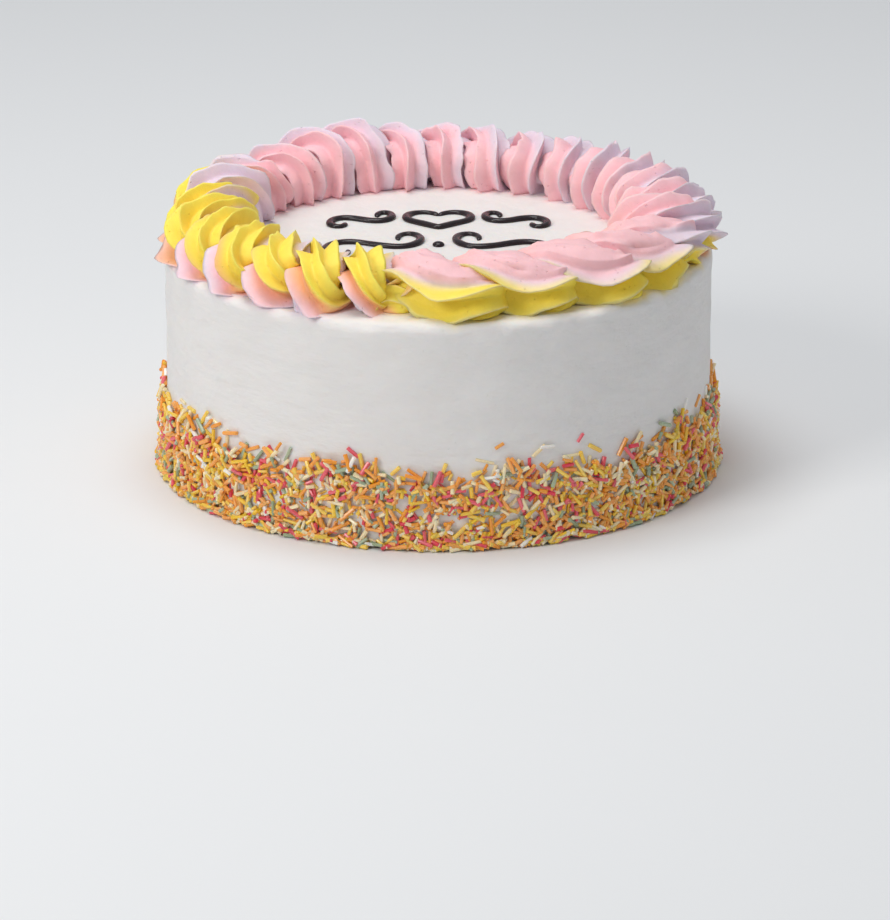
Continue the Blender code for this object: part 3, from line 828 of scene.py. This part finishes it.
def strand_places(strands, radius):
    """Where each strand of the band lies: a matrix for each, from the inside of the band outwards."""
    draw = random.Random(strands.seed)
    heap = StrandHeap(radius, 1.5 * strands.height)
    golden = (math.sqrt(5) - 1) / 2
    places = []
    total = strands.count + strands.foot_count
    for number in range(total * 2):
        angle = 2 * math.pi * ((number * golden) % 1.0)
        top = band_top(angle, strands)
        at_foot = number % total >= strands.count
        share = draw.uniform(0.0, FOOT_UP_TO if at_foot else BAND_UP_TO)
        thick = draw.uniform(strands.thin, strands.thick)
        length = strands.short + (strands.long - strands.short) * draw.random() ** 1.25
        turn = draw.uniform(-FOOT_TILT, FOOT_TILT) if at_foot else draw.uniform(0.0, math.pi)
        keep = draw.random() > LEFT_OUT * float(ease(*LEFT_OUT_FROM, share))
        shade = draw.random()
        along = (math.cos(turn), math.sin(turn))
        height = max(top * share, abs(along[1]) * length / 2 + thick * 1.02)
        if len(places) >= total or not keep or height > 1.2 * top:
            continue
        stands, slope = heap.lay(angle, height, along, length, thick)
        stands = min(stands, strands.deepest * (1.0 if at_foot else BAND_DEPTH))
        outward = Vector((math.cos(angle), math.sin(angle), 0.0))
        level = Vector((-math.sin(angle), math.cos(angle), 0.0))
        lengthways = (level * along[0] + Vector((0.0, 0.0, along[1])) + outward * slope).normalized()
        side = outward.cross(lengthways).normalized()
        face = lengthways.cross(side)
        middle = outward * (radius + stands) + Vector((0.0, 0.0, height))
        matrix = Matrix.Identity(4)
        for column, axis in enumerate((side * thick, face * thick, lengthways * length, middle)):
            for row in range(3):
                matrix[row][column] = axis[row]
        places.append((matrix, shade))
    return places


class CAKE_OT_sugar_strands(bpy.types.Operator):
    """Press the sugar strands into the foot of the cake, one piece for each colour"""

    bl_idname = "cake.sugar_strands"
    bl_label = "Sugar strands"

    def execute(self, context):
        strands = context.scene.cake_strands
        template = strand_template()
        draw = random.Random(strands.seed + 1)
        names = [name for name, _, _ in STRAND_KINDS]
        weights = [share for _, share, _ in STRAND_KINDS]
        shapes = {name: bmesh.new() for name in names}
        for matrix, shade in strand_places(strands, context.scene.cake_icing.radius):
            one = template.copy()
            one.transform(matrix)
            one.attributes["shade"].data.foreach_set("value", [shade] * len(one.vertices))
            shapes[draw.choices(names, weights)[0]].from_mesh(one)
            bpy.data.meshes.remove(one)
        bpy.data.meshes.remove(template)
        for name, _, colour in STRAND_KINDS:
            material = strand_material(name, colour)
            finished(shapes[name], "strands_" + name, ["iced_cake"], material)
        return {"FINISHED"}


def scroll_path(place_x, place_y, side, length, steps=60):
    """A level S that curls in at both ends: its bend grows evenly from the middle."""
    points = [Vector((0.0, 0.0, 0.0))]
    for half in (1, -1):
        here = Vector((0.0, 0.0, 0.0))
        run = []
        for step in range(steps):
            share = (step + 0.5) / steps
            heading = SCROLL_SLOPE - SCROLL_CURL * share * share
            stride = half * length / 2 / steps
            here = here + stride * Vector((math.cos(heading), math.sin(heading), 0.0))
            run.append(here.copy())
        points = points + run if half > 0 else run[::-1] + points
    for point in points:
        point.x = place_x + side * point.x
        point.y = place_y + point.y * SCROLL_STRETCH
    return points


def heart_path(steps=34):
    """A heart in outline from its notch all the way round: two round lobes and straight sides to a tip."""
    notch = math.pi - math.acos(HEART_APART / HEART_LOBE)
    to_tip = math.hypot(HEART_APART, HEART_TIP)
    last = math.acos(HEART_LOBE / to_tip) + math.atan2(-HEART_TIP, -HEART_APART)
    half = []
    for step in range(steps + 1):
        turn = notch + (last - notch) * step / steps
        half.append(Vector((HEART_APART + HEART_LOBE * math.cos(turn), HEART_LOBE * math.sin(turn), 0.0)))
    tip = Vector((0.0, -HEART_TIP, 0.0))
    half += [half[-1].lerp(tip, step / 12) for step in range(1, 12)]
    mirrored = [Vector((-point.x, point.y, 0.0)) for point in reversed(half)]
    middle = Vector((*HEART_PLACE, 0.0))
    return [middle + point for point in [*half, tip + Vector((0.0, 0.0004, 0.0)), *mirrored]]


def gel_stroke(path, gel, seed):
    """A rounded bead of gel along a level path, flat where it lies on the icing."""
    count = 14
    rings = []
    last = len(path) - 1
    for number, place in enumerate(path):
        ahead = (path[min(number + 1, last)] - path[max(number - 1, 0)]).normalized()
        across = Vector((ahead.y, -ahead.x, 0.0))
        near_end = min(number, last - number) / last
        full = math.sqrt(max(1 - (1 - min(near_end / 0.045, 1.0)) ** 2, 0.0))
        swell = 1 + gel.waver * noise.noise(place * 130.0 + Vector((seed, 0.0, 0.0)))
        taper = 0.72 + 0.28 * float(ease(0.0, 0.25, near_end))
        size = max(full * swell * taper, 0.02)
        ring = []
        for side in range(count):
            turn = 2 * math.pi * side / count
            point = place + across * math.cos(turn) * gel.width / 2 * size
            point.z = TOP + max(0.35 + 0.65 * math.sin(turn), -0.1) * gel.height * size
            ring.append(point)
        rings.append(ring)
    return wrapped_grid(np.array(rings))


def gel_dot(place, gel):
    shape = bmesh.new()
    bmesh.ops.create_uvsphere(shape, u_segments=28, v_segments=16, radius=gel.dot)
    bmesh.ops.scale(shape, vec=Vector((1.0, 1.0, gel.height * 0.75 / gel.dot)), verts=shape.verts)
    bmesh.ops.translate(shape, vec=Vector((place.x, place.y, TOP + gel.height * 0.25)), verts=shape.verts)
    for corner in shape.verts:
        corner.co.z = max(corner.co.z, TOP - 0.0002)
    return shape


class CAKE_OT_gel_flourish(bpy.types.Operator):
    """Draw the heart, the scrolls and the dots in dark gel"""

    bl_idname = "cake.gel_flourish"
    bl_label = "Gel flourish"

    def execute(self, context):
        gel = context.scene.cake_gel
        material = gel_material(gel.colour)
        for number, node in enumerate(GEL_NODES):
            low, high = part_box(node)
            if node in SCROLLS:
                shape = gel_stroke(scroll_path(*SCROLLS[node]), gel, number)
            elif "heart" in node:
                shape = gel_stroke(heart_path(), gel, number)
            else:
                shape = gel_dot((low + high) / 2, gel)
            finished(shape, "glossy_" + node, [node], material, 60.0)
        return {"FINISHED"}


def area_light(name, power, size, place, colour):
    light = bpy.data.lights.new(name, "AREA")
    light.energy = power
    light.size = size
    light.color = colour
    lamp = bpy.data.objects.new(name, light)
    lamp.location = place
    lamp.rotation_euler = (Vector(LIGHTS_AIM) - Vector(place)).to_track_quat("-Z", "Y").to_euler()
    bpy.context.scene.collection.objects.link(lamp)


class CAKE_OT_stage(bpy.types.Operator):
    """Set the pale floor, the soft lights and the camera"""

    bl_idname = "cake.stage"
    bl_label = "Stage"

    def execute(self, context):
        scene = context.scene
        stage = scene.cake_stage
        shape = bmesh.new()
        bmesh.ops.create_grid(shape, x_segments=1, y_segments=1, size=stage.floor_size / 2)
        mesh = bpy.data.meshes.new("floor")
        shape.to_mesh(mesh)
        shape.free()
        mesh.materials.append(floor_material(stage.floor_colour))
        floor = bpy.data.objects.new("floor", mesh)
        scene.collection.objects.link(floor)
        area_light("key", stage.key, *KEY_LIGHT)
        area_light("fill", stage.fill, *FILL_LIGHT)
        area_light("over", stage.over, *OVER_LIGHT)
        world = bpy.data.worlds.new("room")
        world.use_nodes = True
        glow = world.node_tree.nodes["Background"]
        glow.inputs["Color"].default_value = ROOM_COLOUR
        glow.inputs["Strength"].default_value = stage.world
        scene.world = world
        scene.view_settings.view_transform = "Standard"
        self.place_camera(scene, stage)
        return {"FINISHED"}

    def place_camera(self, scene, stage):
        camera = bpy.data.cameras.new("camera")
        camera.sensor_fit = "VERTICAL"
        camera.sensor_height = 36.0
        camera.lens = stage.lens
        viewer = bpy.data.objects.new("camera", camera)
        rise = math.radians(stage.elevation)
        back = Vector((0.0, -math.cos(rise), math.sin(rise)))
        viewer.location = Vector(CAMERA_AIM) + back * stage.distance
        viewer.rotation_euler = (-back).to_track_quat("-Z", "Y").to_euler()
        scene.collection.objects.link(viewer)
        scene.camera = viewer


class CAKE_PT_sidebar(bpy.types.Panel):
    """Lists the cake's pieces in the sidebar"""

    bl_idname = "CAKE_PT_sidebar"
    bl_label = "Birthday cake"
    bl_space_type = "VIEW_3D"
    bl_region_type = "UI"
    bl_category = "Cake"

    def draw(self, context):
        for operator in OPERATORS:
            self.layout.operator(operator.bl_idname)
        for name in SETTINGS:
            group = getattr(context.scene, name)
            box = self.layout.box()
            for setting in type(group).__annotations__:
                box.prop(group, setting)


SETTINGS = {
    "cake_icing": CakeIcingSettings,
    "cake_border": CakeBorderSettings,
    "cake_strands": CakeStrandSettings,
    "cake_gel": CakeGelSettings,
    "cake_stage": CakeStageSettings,
}
OPERATORS = (
    CAKE_OT_smooth_icing, CAKE_OT_sugar_strands, CAKE_OT_piped_border, CAKE_OT_gel_flourish, CAKE_OT_stage,
)


def register():
    for name, group in SETTINGS.items():
        bpy.utils.register_class(group)
        setattr(bpy.types.Scene, name, bpy.props.PointerProperty(type=group))
    for operator in OPERATORS:
        bpy.utils.register_class(operator)
    bpy.utils.register_class(CAKE_PT_sidebar)


def unregister():
    bpy.utils.unregister_class(CAKE_PT_sidebar)
    for operator in reversed(OPERATORS):
        bpy.utils.unregister_class(operator)
    for name, group in SETTINGS.items():
        delattr(bpy.types.Scene, name)
        bpy.utils.unregister_class(group)


def main():
    register()
    bpy.ops.cake.smooth_icing()
    bpy.ops.cake.sugar_strands()
    bpy.ops.cake.piped_border()
    bpy.ops.cake.gel_flourish()
    bpy.ops.cake.stage()


if __name__ == "__main__":
    main()
